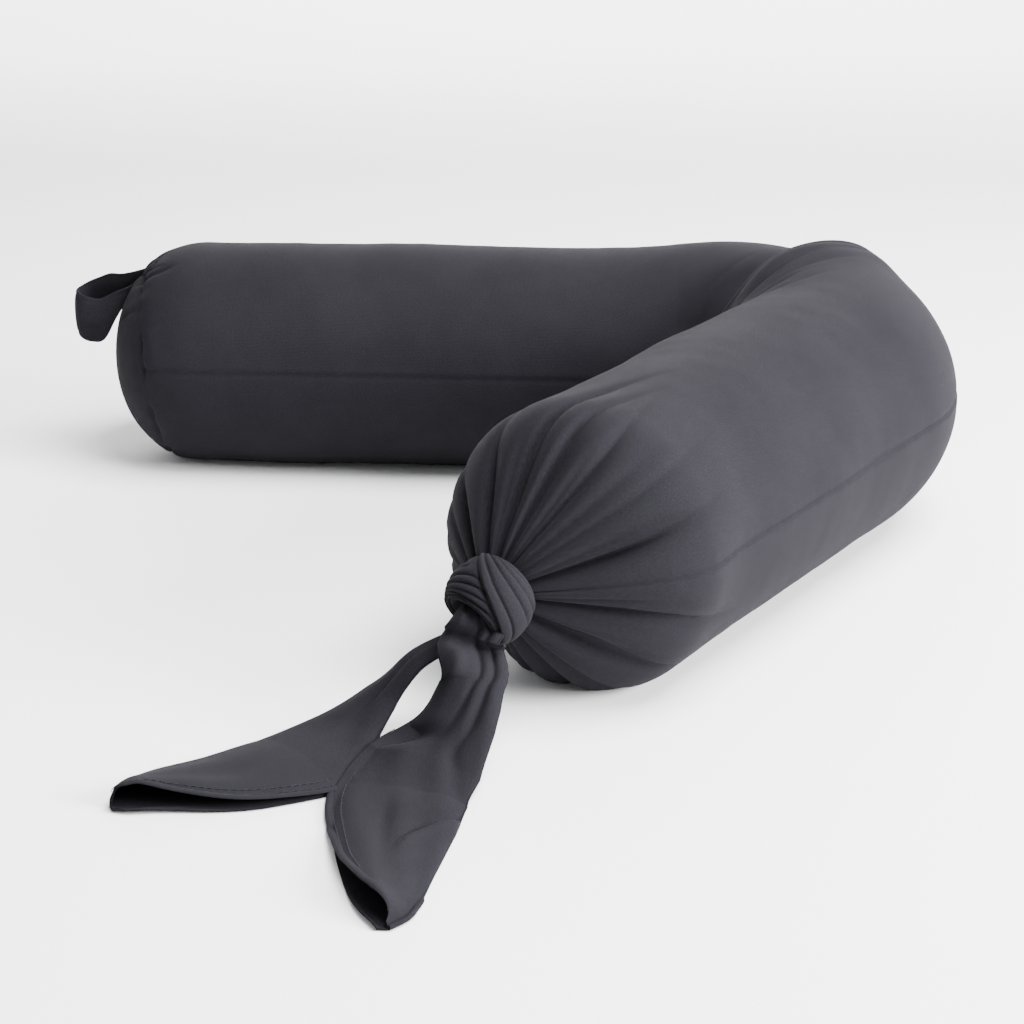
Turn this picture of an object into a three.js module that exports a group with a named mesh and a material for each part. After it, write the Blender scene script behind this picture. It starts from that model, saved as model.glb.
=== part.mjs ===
// A nursing pillow: a stuffed jersey tube bent into an elbow, sewn shut with a carry loop at one
// end and tied shut with its own two tails at the other. Millimetres, +Z up. The origin is on the
// floor under the middle of the bend; the back leg runs along -X, the front leg comes forward to -Y.
import * as THREE from 'three';
import { mergeVertices } from 'three/addons/utils/BufferGeometryUtils.js';

// ---------------------------------------------------------------- driving dimensions
const BACK_LENGTH = 457;        // closed end to the start of the bend, along the centreline
const FRONT_LENGTH = 385;       // end of the bend to the tied end
const CREASE_RADIUS = 13;       // of the tube's inner side at the bend
const BEND_ANGLE = 118.5;       // degrees turned from the back leg to the front leg
const ELBOW_REACH = 40;         // straight tube beyond each end of the bend that bends with it

const BACK_RADIUS = 90;         // the tube grows at the bend, where the filling is pushed together
const ELBOW_RADIUS = 99;
const FRONT_RADIUS = 95;
const TIED_RADIUS = 91;
const BASE_SETTLE = 4.5;        // how far the tube's round underside is pressed flat by its weight
const BASE_HALF_ANGLE = 16;     // degrees of the section that lie on the floor, each side

const CLOSED_CAP = 79;          // length over which each end rounds off
const TIED_CAP = 69;
const CAP_POWER = 2.2;          // 2 is an ellipse, more is squarer
const END_SEAM_TOP = 28;        // from the closed end's tip back to its seam, on top and below
const END_SEAM_BOTTOM = 48;
const SIDE_SEAM_LIFT = 4;       // degrees that the side seams lie above the section's centre

const COVER_THICKNESS = 2.0;
const CASING_THICKNESS = 1.2;
const CASING_SEAM = 60;         // from each tip back to the casing's end disc seam
const CLEARANCE = 0.3;          // between pieces that touch

const NECK_MOUTH = 21.5;        // radius of the gathered opening at the tied end
const NECK_RADIUS = 9.5;        // of the bunched cloth where it passes through the knot
const NECK_SPREAD = [23, 8];    // half width and half height where the tails part
const NECK_SPREAD_START = 10;   // from the knot's centre to where the neck begins to spread
const NECK_PAST_KNOT = 22;      // and to where the tails part
const KNOT_OFFSET = [27.5, 12, -5.5];  // tied end's tip to the knot's centre: forward, inward, up
const KNOT_PITCH = 27;          // degrees that the knot faces down
const KNOT_YAW = 8;             // degrees that it faces away from the leg's own direction, to -X
const KNOT_RADIUS = 28;
const KNOT_HALF_DEPTH = 17;
const KNOT_FLATTEN = 0.88;      // height as a share of width
const KNOT_SIDES = 14;          // facets round the neck and the knot

const HEM_WIDTH = 7;
const HEM_LIFT = 1;             // the hem's turned edge stays off the floor
const HEM_START = 2;            // the first of the tail's points that its hem reaches
const TAIL_EDGE = 3;            // thickness at the tails' edges: two layers of jersey
const HEM_GAP = 0.6;            // from the hem to the tail, whose edge twists

const LOOP_WIDTH = 38;          // of the strap at its far end
const LOOP_ROOT_WIDTH = 12;     // where its two ends are gathered into the seam
const LOOP_THICKNESS = 3;
const LOOP_ANGLE = 100;         // section angle of the loop's root on the end seam
const LOOP_REACH = 59;          // from the seam to the far end of the loop
const LOOP_TURN = 13;           // radius of the strap's turn
const LOOP_DROP = 46;           // how far the loop's far end hangs below its root
const LOOP_SEAT = 1;            // the strap's lower edge above the seam
const ANCHOR_LENGTH = 8;        // stitched tab behind the loop's ends
const ANCHOR_HALF_ANGLE = 8;    // degrees that it covers, each side
const ANCHOR_THICKNESS = 3;

const TAIL_ROOT = [21, 13];     // width and thickness where each tail leaves the neck

// From its root each tail runs on along these points of its underside. Each gives how far it lies
// from the knot's centre, forward and inward as seen from the leg, its share of the root's height,
// the tail's width and its thickness.
const FRONT_TAIL = [
  [38, -16, 0.65, 30, 12], [59, -21, 0.35, 44, 12], [86, -21, 0.11, 66, 12],
  [116, -22, 0, 78, 13], [152, -40, 0, 70, 12], [187, -60, 0, 56, 12],
  [217, -78, 0, 38, 12], [240, -92, 0, 16, 9],
];
const LEFT_TAIL = [
  [34, 24, 0.65, 28, 12], [55, 37, 0.34, 40, 11], [81, 48, 0.1, 56, 11],
  [118, 58, 0, 68, 12], [154, 72, 0, 60, 11], [184, 90, 0, 44, 11],
  [204, 104, 0, 30, 10], [214, 111, 0, 16, 8],
];

// ---------------------------------------------------------------- materials
function cloth(colour, roughness = 0.9) {
  return new THREE.MeshStandardMaterial({ color: colour, roughness, metalness: 0 });
}
const JERSEY = cloth(0x504e56);
const JERSEY_DARK = cloth(0x45434a);
const LINING = cloth(0xe9e6df, 0.85);
const FILLING = cloth(0xf6f5f1, 0.8);

// ---------------------------------------------------------------- mesh building
const group = new THREE.Group();

function addMesh(name, geometry, material) {
  const mesh = new THREE.Mesh(geometry, material);
  mesh.name = name;
  group.add(mesh);
  return mesh;
}

// A closed body from triangles of points. Triangles that a pole squeezes to nothing are left out,
// and the faces are turned to point out.
function closedBody(triangles) {
  const live = triangles.filter(([a, b, c]) => {
    const area = b.clone().sub(a).cross(c.clone().sub(a)).length();
    return area > 1e-6;
  });
  const volume = live.reduce((sum, [a, b, c]) => sum + a.dot(b.clone().cross(c)), 0);
  const points = live.flatMap(([a, b, c]) => (volume > 0 ? [a, b, c] : [a, c, b]));
  const geometry = new THREE.BufferGeometry().setFromPoints(points);
  const merged = mergeVertices(geometry, 1e-4);
  merged.computeVertexNormals();
  return merged;
}

function quad(a, b, c, d) {
  return [[a, b, c], [a, c, d]];
}

// The skin between neighbouring rings of points; wrap joins each ring's end to its start.
function skin(rings, wrap) {
  const triangles = [];
  for (let i = 0; i + 1 < rings.length; i += 1) {
    const count = rings[i].length;
    for (let j = 0; j < (wrap ? count : count - 1); j += 1) {
      const next = (j + 1) % count;
      triangles.push(...quad(rings[i][j], rings[i + 1][j], rings[i + 1][next], rings[i][next]));
    }
  }
  return triangles;
}

// A solid through closed rings, its two ends filled from their middles.
function solid(rings) {
  const triangles = skin(rings, true);
  const ends = [[rings[0], false], [rings[rings.length - 1], true]];
  for (const [ring, last] of ends) {
    const middle = new THREE.Vector3();
    ring.forEach((p) => middle.addScaledVector(p, 1 / ring.length));
    ring.forEach((p, j) => {
      const next = ring[(j + 1) % ring.length];
      triangles.push(last ? [middle, next, p] : [middle, p, next]);
    });
  }
  return closedBody(triangles);
}

// A shell between an outer and an inner grid of points, closed along every open edge.
function shell(outer, inner, wrap) {
  const last = outer.length - 1;
  const reversed = skin(inner, wrap).map(([a, b, c]) => [a, c, b]);
  const start = skin([inner[0], outer[0]], wrap);
  const end = skin([outer[last], inner[last]], wrap);
  const triangles = [...skin(outer, wrap), ...reversed, ...start, ...end];
  if (!wrap) {
    const column = (grid, j) => grid.map((ring) => ring[j]);
    const edge = outer[0].length - 1;
    triangles.push(...skin([column(outer, 0), column(inner, 0)], false));
    triangles.push(...skin([column(inner, edge), column(outer, edge)], false));
  }
  return closedBody(triangles);
}

// ---------------------------------------------------------------- the stuffed tube
const rad = THREE.MathUtils.degToRad;
const { smoothstep, lerp } = THREE.MathUtils;
const BEND = rad(BEND_ANGLE);
const BEND_RADIUS = ELBOW_RADIUS + CREASE_RADIUS;  // of the centreline
const BEND_LENGTH = BEND_RADIUS * BEND;
const TIP_BACK = -BACK_LENGTH;  // places along the centreline are counted from where the bend starts
const TIP_FRONT = BEND_LENGTH + FRONT_LENGTH;
const SPLIT_BACK = -ELBOW_REACH;
const SPLIT_FRONT = BEND_LENGTH + ELBOW_REACH;

function arcPoint(turn) {
  const middle = BEND / 2;
  return {
    x: BEND_RADIUS * (Math.sin(turn) - Math.sin(middle)),
    y: BEND_RADIUS * (Math.cos(turn) - Math.cos(middle)),
    heading: turn,
  };
}

function centreline(s) {
  const place = arcPoint(THREE.MathUtils.clamp(s / BEND_RADIUS, 0, BEND));
  const straight = s < 0 ? s : Math.max(0, s - BEND_LENGTH);
  place.x += straight * Math.cos(place.heading);
  place.y -= straight * Math.sin(place.heading);
  return place;
}

function tubeRadius(s) {
  const middle = BEND_LENGTH / 2;
  if (s < middle) return lerp(BACK_RADIUS, ELBOW_RADIUS, smoothstep(s, SPLIT_BACK, middle));
  if (s < SPLIT_FRONT) return lerp(ELBOW_RADIUS, FRONT_RADIUS, smoothstep(s, middle, SPLIT_FRONT));
  return lerp(FRONT_RADIUS, TIED_RADIUS, (s - SPLIT_FRONT) / (TIP_FRONT - SPLIT_FRONT));
}

// How much of the tube's radius is left at a distance from a rounded tip.
function capShare(fromTip, capLength) {
  const t = THREE.MathUtils.clamp(1 - fromTip / capLength, 0, 1);
  return (1 - t ** CAP_POWER) ** (1 / CAP_POWER);
}

// A point at a place s and a section angle, a depth below the cover's outer face. Angle 0 is the
// outside of the bend, 90 is up.
function tubePoint(s, angle, depth) {
  const { x, y, heading } = centreline(s);
  const full = tubeRadius(s);
  const share = capShare(s - TIP_BACK - depth, CLOSED_CAP - depth)
    * capShare(TIP_FRONT - s - depth, TIED_CAP - depth);
  const radius = (full - depth) * share;
  const out = radius * Math.cos(rad(angle));
  const height = full - BASE_SETTLE + radius * Math.sin(rad(angle));
  return new THREE.Vector3(
    x + out * Math.sin(heading),
    y + out * Math.cos(heading),
    Math.max(height, depth),
  );
}

function steps(from, to, count) {
  return Array.from({ length: count + 1 }, (_, i) => from + ((to - from) * i) / count);
}

const OUTER_SEAM = SIDE_SEAM_LIFT;
const INNER_SEAM = 180 - SIDE_SEAM_LIFT;
const UPPER_ANGLES = steps(OUTER_SEAM, INNER_SEAM, 10);
const LOWER_ANGLES = [
  ...steps(INNER_SEAM, 270 - BASE_HALF_ANGLE, 5),
  270,
  ...steps(270 + BASE_HALF_ANGLE, 360 + OUTER_SEAM, 5),
];
const ALL_ANGLES = [...UPPER_ANGLES.slice(0, -1), ...LOWER_ANGLES.slice(0, -1)];

// The angles of one panel, drawn in from its two seams by half the clearance.
function panelAngles(angles) {
  const inset = THREE.MathUtils.radToDeg(CLEARANCE / 2 / TIED_RADIUS);
  const last = angles.length - 1;
  return angles.map((a, i) => a + (i === 0 ? inset : 0) - (i === last ? inset : 0));
}

// The end panel's seam slants: it lies nearer the tip on top than below.
function endSeam(angle) {
  const low = (1 - Math.sin(rad(angle))) / 2;
  return TIP_BACK + lerp(END_SEAM_TOP, END_SEAM_BOTTOM, low);
}

// Places along the centreline, shared by every layer so that their facets stay side by side. A
// place is a number, or a function of the section angle where it follows the slanted seam.
const HALF_GAP = CLEARANCE / 2;
const TIP_CROWDING = 1.6;       // draws the rings of a rounded tip closer together towards its pole

function endPanelPlaces(tip, seamGap) {
  return steps(0, 1, 4).map((t) => (angle) => lerp(tip, endSeam(angle) - seamGap, t ** TIP_CROWDING));
}

function seamBandPlaces(seamGap, edge) {
  return steps(0, 1, 3).map((t) => (angle) => lerp(endSeam(angle) + seamGap, edge, t));
}

function tiedPlaces(first, last) {
  const rounds = steps(0.75, 0.25, 2).map((t) => TIP_FRONT - CASING_SEAM * t ** TIP_CROWDING);
  return [first, ...rounds, last];
}

// Where the rounding of the tied end has come down to the open mouth of the cover.
const MOUTH_PLACE = (() => {
  const share = NECK_MOUTH / TIED_RADIUS;
  return TIP_FRONT - TIED_CAP * (1 - (1 - share ** CAP_POWER) ** (1 / CAP_POWER));
})();

const CASING_EDGE_BACK = TIP_BACK + CASING_SEAM;
const CASING_EDGE_FRONT = TIP_FRONT - CASING_SEAM;
const BACK_STRAIGHT = steps(TIP_BACK + CLOSED_CAP, SPLIT_BACK - HALF_GAP, 3);
const ELBOW_PLACES = [
  SPLIT_BACK + HALF_GAP,
  ...steps(0, BEND_LENGTH, 8),
  SPLIT_FRONT - HALF_GAP,
];
const FRONT_STRAIGHT = steps(SPLIT_FRONT + HALF_GAP, TIP_FRONT - TIED_CAP, 3);

function tubeGrid(places, angles, depth) {
  return places.map((place) => angles.map((angle) => {
    const s = typeof place === 'function' ? place(angle) : place;
    return tubePoint(s, angle, depth);
  }));
}

// ---------------------------------------------------------------- cover
function addPanel(name, places, angles) {
  const set = panelAngles(angles);
  const geometry = shell(tubeGrid(places, set, 0), tubeGrid(places, set, COVER_THICKNESS), false);
  addMesh(name, geometry, JERSEY);
}

const COVER_PLACES = {
  back: [...seamBandPlaces(HALF_GAP, CASING_EDGE_BACK), ...BACK_STRAIGHT],
  elbow: ELBOW_PLACES,
  front: [...FRONT_STRAIGHT, ...tiedPlaces(CASING_EDGE_FRONT, MOUTH_PLACE)],
};
for (const [section, places] of Object.entries(COVER_PLACES)) {
  addPanel(`cover_upper_${section}`, places, UPPER_ANGLES);
  addPanel(`cover_lower_${section}`, places, LOWER_ANGLES);
}

// The rounded end panel closes the tube inside its own seam.
function addEndPanel() {
  const grid = (depth) => tubeGrid(endPanelPlaces(TIP_BACK + depth, HALF_GAP), ALL_ANGLES, depth);
  addMesh('cover_end_panel', shell(grid(0), grid(COVER_THICKNESS), true), JERSEY);
}
addEndPanel();

// ---------------------------------------------------------------- casing and filling
const CASING_DEPTH = COVER_THICKNESS + CLEARANCE;
const CASING_INNER = CASING_DEPTH + CASING_THICKNESS;
const FILLING_DEPTH = CASING_INNER + CLEARANCE;

function closedEndPlaces(depth, edge) {
  const panel = endPanelPlaces(TIP_BACK + depth, 0);
  return [...panel, ...seamBandPlaces(0, edge).slice(1)];
}

// A casing piece; places says where its rings lie for a depth.
function addCasing(name, places) {
  const grid = (depth) => tubeGrid(places(depth), ALL_ANGLES, depth);
  addMesh(name, shell(grid(CASING_DEPTH), grid(CASING_INNER), true), LINING);
}

addCasing('casing_back', () => [CASING_EDGE_BACK + HALF_GAP, ...BACK_STRAIGHT]);
addCasing('casing_elbow', () => ELBOW_PLACES);
addCasing('casing_front', () => [...FRONT_STRAIGHT, CASING_EDGE_FRONT - HALF_GAP]);
addCasing('casing_end_back', (depth) => closedEndPlaces(depth, CASING_EDGE_BACK - HALF_GAP));
addCasing('casing_end_front', (depth) => {
  return tiedPlaces(CASING_EDGE_FRONT + HALF_GAP, TIP_FRONT - depth);
});

function addFilling(name, places) {
  addMesh(name, solid(tubeGrid(places, ALL_ANGLES, FILLING_DEPTH)), FILLING);
}

addFilling('filling_back', [...closedEndPlaces(FILLING_DEPTH, CASING_EDGE_BACK), ...BACK_STRAIGHT]);
addFilling('filling_elbow', ELBOW_PLACES);
addFilling('filling_front', [
  ...FRONT_STRAIGHT,
  ...tiedPlaces(CASING_EDGE_FRONT, TIP_FRONT - FILLING_DEPTH),
]);

// ---------------------------------------------------------------- gathered neck and knot
const TIP = centreline(TIP_FRONT);
const LEG_AHEAD = new THREE.Vector3(Math.cos(TIP.heading), -Math.sin(TIP.heading), 0);
const LEG_SIDE = new THREE.Vector3(-Math.sin(TIP.heading), -Math.cos(TIP.heading), 0);
const UP = new THREE.Vector3(0, 0, 1);
const TIP_POINT = new THREE.Vector3(TIP.x, TIP.y, TIED_RADIUS - BASE_SETTLE);

const KNOT_CENTRE = TIP_POINT.clone()
  .addScaledVector(LEG_AHEAD, KNOT_OFFSET[0])
  .addScaledVector(LEG_SIDE, KNOT_OFFSET[1])
  .addScaledVector(UP, KNOT_OFFSET[2]);
const KNOT_AXIS = LEG_AHEAD.clone()
  .applyAxisAngle(UP, -rad(KNOT_YAW))
  .multiplyScalar(Math.cos(rad(KNOT_PITCH)))
  .addScaledVector(UP, -Math.sin(rad(KNOT_PITCH)))
  .normalize();

// The level direction across an axis, and the one that rises square to both.
function acrossAndRise(axis) {
  const across = new THREE.Vector3().crossVectors(UP, axis).normalize();
  return [across, new THREE.Vector3().crossVectors(axis, across)];
}

function pastKnot(distance) {
  return KNOT_CENTRE.clone().addScaledVector(KNOT_AXIS, distance);
}

// An oval ring of points round a centre, facing along an axis.
function ovalRing(centre, axis, halfWidth, halfHeight) {
  const [across, rise] = acrossAndRise(axis);
  return steps(0, 2 * Math.PI, KNOT_SIDES).slice(0, -1).map((a) => centre.clone()
    .addScaledVector(across, halfWidth * Math.cos(a))
    .addScaledVector(rise, halfHeight * Math.sin(a)));
}

function addNeck() {
  const mouth = centreline(MOUTH_PLACE + CLEARANCE);
  const start = new THREE.Vector3(mouth.x, mouth.y, TIP_POINT.z);
  const entry = pastKnot(-KNOT_HALF_DEPTH);
  const between = start.clone().lerp(entry, 0.5);
  const halfway = LEG_AHEAD.clone().add(KNOT_AXIS).normalize();
  const waist = (NECK_MOUTH + 2 * NECK_RADIUS) / 3;
  addMesh('gathered_neck', solid([
    ovalRing(start, LEG_AHEAD, NECK_MOUTH, NECK_MOUTH),
    ovalRing(between, halfway, waist, waist),
    ovalRing(entry, KNOT_AXIS, NECK_RADIUS, NECK_RADIUS),
    ovalRing(pastKnot(NECK_SPREAD_START), KNOT_AXIS, NECK_RADIUS, NECK_RADIUS),
    ovalRing(pastKnot(NECK_PAST_KNOT), KNOT_AXIS, NECK_SPREAD[0], NECK_SPREAD[1]),
  ]), JERSEY_DARK);
}
addNeck();

// The tied band round the neck: a fat ring whose section is an oval.
function addKnot() {
  const [across, rise] = acrossAndRise(KNOT_AXIS);
  const facetInset = Math.cos(Math.PI / KNOT_SIDES);
  const inner = NECK_RADIUS / KNOT_FLATTEN / facetInset + CLEARANCE;
  const half = (KNOT_RADIUS - inner) / 2;
  const rings = steps(0, 2 * Math.PI, KNOT_SIDES).slice(0, -1).map((turn) => {
    return steps(0, 2 * Math.PI, 10).slice(0, -1).map((a) => {
      const reach = inner + half + half * Math.cos(a);
      return pastKnot(KNOT_HALF_DEPTH * Math.sin(a))
        .addScaledVector(across, reach * Math.cos(turn))
        .addScaledVector(rise, reach * Math.sin(turn) * KNOT_FLATTEN);
    });
  });
  addMesh('knot_ring', closedBody(skin([...rings, rings[0]], true)), JERSEY);
}
addKnot();

// ---------------------------------------------------------------- tails
// A tail's whole path. It starts on its own half of the neck's end: side is 1 for the front tail
// and -1 for the left one.
function rootedPath(points, side) {
  const [rootWidth, rootThickness] = TAIL_ROOT;
  const [across, rise] = acrossAndRise(KNOT_AXIS);
  const root = pastKnot(NECK_PAST_KNOT + CLEARANCE)
    .addScaledVector(across, side * NECK_SPREAD[0] / 2)
    .addScaledVector(rise, -rootThickness / 2);
  const rest = points.map(([forward, inward, heightShare, width, thickness]) => {
    const place = KNOT_CENTRE.clone()
      .addScaledVector(LEG_AHEAD, forward)
      .addScaledVector(LEG_SIDE, inward)
      .setZ(root.z * heightShare);
    return { place, width, thickness };
  });
  return [{ place: root, width: rootWidth, thickness: rootThickness }, ...rest];
}

// Closed sections across a tail, one for each point of its path. Each reaches across from one
// place to another, given the width, and up from one height to another, given the crown. hemSide
// is 1 where places count to the right of the way that the tail runs, and -1 where to the left.
function tailRings(path, hemSide, [from, to], [lower, upper]) {
  return path.map(({ place, width, thickness }, i) => {
    const before = path[Math.max(i - 1, 0)].place;
    const after = path[Math.min(i + 1, path.length - 1)].place;
    const ahead = i === 0 ? KNOT_AXIS : after.clone().sub(before);
    const right = new THREE.Vector3().crossVectors(ahead, UP).normalize();
    const rise = new THREE.Vector3().crossVectors(right, ahead).normalize();
    const crown = (across) => lerp(thickness, TAIL_EDGE, (2 * across / width) ** 2);
    const point = (across, height) => place.clone()
      .addScaledVector(right, hemSide * across)
      .addScaledVector(rise, height(crown(across)));
    const places = steps(from(width), to(width), 4);
    return [
      ...places.map((across) => point(across, upper)),
      ...places.reverse().map((across) => point(across, lower)),
    ];
  });
}

function addTail(name, path, hemSide) {
  const top = (crown) => crown;
  const hemEdge = (width) => width / 2 - HEM_WIDTH;
  const body = tailRings(path, hemSide, [(w) => hemEdge(w) - HEM_GAP, (w) => -w / 2], [() => 0, top]);
  const hem = tailRings(path, hemSide, [(w) => w / 2, hemEdge], [() => HEM_LIFT, top]);
  addMesh(name, solid(body), JERSEY);
  addMesh(`${name}_hem`, solid(hem.slice(HEM_START)), JERSEY_DARK);
}
const FRONT_PATH = rootedPath(FRONT_TAIL, 1);
const LEFT_PATH = rootedPath(LEFT_TAIL, -1);
addTail('tail_front', FRONT_PATH, 1);
addTail('tail_left', LEFT_PATH, -1);

// ---------------------------------------------------------------- carry loop
const ROOT_PLACE = endSeam(LOOP_ANGLE);
const ROOT = tubePoint(ROOT_PLACE, LOOP_ANGLE, 0);

// A stitched tab lies on the end seam's upper side, behind both ends of the strap.
function addAnchor() {
  const places = steps(ROOT_PLACE + HALF_GAP, ROOT_PLACE + ANCHOR_LENGTH, 1);
  const angles = steps(LOOP_ANGLE - ANCHOR_HALF_ANGLE, LOOP_ANGLE + ANCHOR_HALF_ANGLE, 2);
  const outer = tubeGrid(places, angles, -CLEARANCE - ANCHOR_THICKNESS);
  addMesh('loop_anchor', shell(outer, tubeGrid(places, angles, -CLEARANCE), false), JERSEY_DARK);
}
addAnchor();

// The strap goes out, turns round and comes back, standing on edge, and droops towards its far end.
function addLoop() {
  const straight = LOOP_REACH - LOOP_TURN;
  const pinch = LOOP_THICKNESS / 2 + CLEARANCE;
  const strand = steps(0, 1, 5).map((t) => [
    lerp(HALF_GAP, straight, t),
    lerp(pinch, LOOP_TURN, smoothstep(t, 0, 1)),
  ]);
  const turn = steps(0, Math.PI, 6).slice(1, -1).map((a) => [
    straight + LOOP_TURN * Math.sin(a),
    LOOP_TURN * Math.cos(a),
  ]);
  const back = strand.map(([out, across]) => [out, -across]).reverse();
  const route = [...strand, ...turn, ...back];
  const rings = route.map(([out, across], i) => {
    const a = route[Math.max(i - 1, 0)];
    const b = route[Math.min(i + 1, route.length - 1)];
    const length = Math.hypot(b[0] - a[0], b[1] - a[1]);
    const normal = [-(b[1] - a[1]) / length, (b[0] - a[0]) / length];
    const t = out / LOOP_REACH;
    const half = lerp(LOOP_ROOT_WIDTH, LOOP_WIDTH, smoothstep(t, 0, 0.9)) / 2;
    const height = ROOT.z + LOOP_SEAT + LOOP_ROOT_WIDTH / 2 - LOOP_DROP * smoothstep(t, 0, 1);
    const corner = (sign, rise) => new THREE.Vector3(
      ROOT.x - out - sign * normal[0] * LOOP_THICKNESS / 2,
      ROOT.y + across + sign * normal[1] * LOOP_THICKNESS / 2,
      height + rise * half,
    );
    return [corner(1, -1), corner(1, 1), corner(-1, 1), corner(-1, -1)];
  });
  addMesh('carry_loop', solid(rings), JERSEY);
}
addLoop();

export default group;
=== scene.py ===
"""Looks of the nursing pillow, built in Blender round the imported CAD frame. Lengths are in
millimetres until a mesh is made, and the frame's metres from there on."""
import math

import bpy
import numpy as np
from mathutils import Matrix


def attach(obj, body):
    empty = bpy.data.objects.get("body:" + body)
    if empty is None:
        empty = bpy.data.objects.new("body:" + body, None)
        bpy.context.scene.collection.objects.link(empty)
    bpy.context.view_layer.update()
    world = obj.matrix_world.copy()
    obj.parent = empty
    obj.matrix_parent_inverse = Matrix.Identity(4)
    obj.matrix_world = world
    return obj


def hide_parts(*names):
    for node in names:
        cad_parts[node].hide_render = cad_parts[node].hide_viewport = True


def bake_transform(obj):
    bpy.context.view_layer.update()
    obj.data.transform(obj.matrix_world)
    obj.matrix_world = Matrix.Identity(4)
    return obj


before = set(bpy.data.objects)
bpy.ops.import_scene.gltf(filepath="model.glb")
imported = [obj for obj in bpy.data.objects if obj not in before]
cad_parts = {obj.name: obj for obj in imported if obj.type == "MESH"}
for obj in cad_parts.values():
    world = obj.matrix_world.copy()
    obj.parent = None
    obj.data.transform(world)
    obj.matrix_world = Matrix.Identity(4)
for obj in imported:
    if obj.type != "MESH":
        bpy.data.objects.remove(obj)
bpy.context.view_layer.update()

MM = 0.001

# ------------------------------------------------------------------ the CAD part's dimensions
BACK_LENGTH, FRONT_LENGTH = 457.0, 385.0
BEND = math.radians(118.5)
BACK_RADIUS, ELBOW_RADIUS, FRONT_RADIUS, TIED_RADIUS = 90.0, 99.0, 95.0, 91.0
BEND_RADIUS = ELBOW_RADIUS + 13.0
BEND_LENGTH = BEND_RADIUS * BEND
ELBOW_REACH = 40.0
TIP_BACK, TIP_FRONT = -BACK_LENGTH, BEND_LENGTH + FRONT_LENGTH
MID = BEND_LENGTH / 2
CLOSED_CAP, TIED_CAP, CAP_POWER = 79.0, 69.0, 2.2
END_SEAM_TOP, END_SEAM_BOTTOM = 28.0, 48.0
BASE_SETTLE = 4.5
OUTER_SEAM, INNER_SEAM = 4.0, 176.0
NECK_MOUTH, NECK_PAST_KNOT = 21.5, 22.0
KNOT_OFFSET = (27.5, 12.0, -5.5)
KNOT_PITCH, KNOT_YAW = math.radians(27), math.radians(8)
KNOT_RADIUS, KNOT_HALF_DEPTH, KNOT_FLATTEN = 28.0, 17.0, 0.88
TAIL_ROOT = (21.0, 13.0)
FRONT_TAIL = [
    (38, -16, 0.65, 30), (59, -21, 0.35, 44), (86, -21, 0.11, 66), (116, -22, 0, 78),
    (152, -40, 0, 70), (187, -60, 0, 56), (217, -78, 0, 38), (240, -92, 0, 16),
]
LEFT_TAIL = [
    (34, 24, 0.65, 28), (55, 37, 0.34, 40), (81, 48, 0.1, 56), (118, 58, 0, 68),
    (154, 72, 0, 60), (184, 90, 0, 44), (204, 104, 0, 30), (214, 111, 0, 16),
]
LOOP_ANGLE, LOOP_REACH, LOOP_TURN = 100.0, 59.0, 13.0


# ------------------------------------------------------------------ small mathematics
def smoothstep(x, low, high):
    t = np.clip((np.asarray(x, float) - low) / (high - low), 0, 1)
    return t * t * (3 - 2 * t)


def table(x, pairs):
    """A smooth curve through a few (place, value) pairs."""
    xs, ys = np.array(pairs, float).T
    i = np.clip(np.searchsorted(xs, x, side="right") - 1, 0, len(xs) - 2)
    t = np.clip((x - xs[i]) / (xs[i + 1] - xs[i]), 0, 1)
    return ys[i] + (ys[i + 1] - ys[i]) * t * t * (3 - 2 * t)


def fold(distance, width):
    """The profile of a fold's valley: a soft cusp, 1 at its middle."""
    return np.exp(0.25 - np.sqrt((distance / width) ** 2 + 0.0625))


def bump(distance, width):
    return np.exp(-((distance / width) ** 2))


def curve(x, pairs):
    """A flowing curve through a few (place, value) pairs."""
    xs, ys = np.array(pairs, float).T
    slope = np.gradient(ys, xs)
    i = np.clip(np.searchsorted(xs, x, side="right") - 1, 0, len(xs) - 2)
    gap = xs[i + 1] - xs[i]
    t = np.clip((x - xs[i]) / gap, 0, 1)
    return (ys[i] * (1 + 2 * t) * (1 - t) ** 2 + ys[i + 1] * t**2 * (3 - 2 * t)
            + gap * t * (1 - t) * (slope[i] * (1 - t) - slope[i + 1] * t))


def spline(points, at):
    """A smooth curve through a few points: at is a count of points or their fractional indices."""
    points = np.asarray(points, float)
    p = np.vstack([2 * points[0] - points[1], points, 2 * points[-1] - points[-2]])
    x = np.linspace(0, len(points) - 1, at) if isinstance(at, int) else at
    i = np.minimum(x.astype(int), len(points) - 2)
    f = (x - i)[:, None]
    a, b, c, d = p[i], p[i + 1], p[i + 2], p[i + 3]
    return (b + 0.5 * (c - a) * f + (a - 2.5 * b + 2 * c - 0.5 * d) * f**2
            + 0.5 * (3 * b - a - 3 * c + d) * f**3)


def unit(v):
    return v / np.maximum(np.linalg.norm(v, axis=-1, keepdims=True), 1e-9)


def waves(along, turn, seed, terms, period, harmonics):
    """Smooth lumps that close round the tube: turn is in radians and along in millimetres."""
    draw = np.random.default_rng(seed)
    total = np.zeros(np.broadcast(along, turn).shape)
    for _ in range(terms):
        around = draw.integers(*harmonics)
        length = draw.uniform(*period) * draw.choice([-1, 1])
        total += np.sin(around * turn + 2 * math.pi * along / length + draw.uniform(0, 6.3))
    return total / math.sqrt(terms)


# ------------------------------------------------------------------ meshes from grids of points
def grid_normals(p, wrap):
    """Outward unit normals of a grid whose rows run along a tube and columns round it."""
    along = np.gradient(p, axis=0)
    if wrap:
        around = np.roll(p, -1, 1) - np.roll(p, 1, 1)
    else:
        around = np.gradient(p, axis=1)
    return unit(np.cross(around, along))


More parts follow.
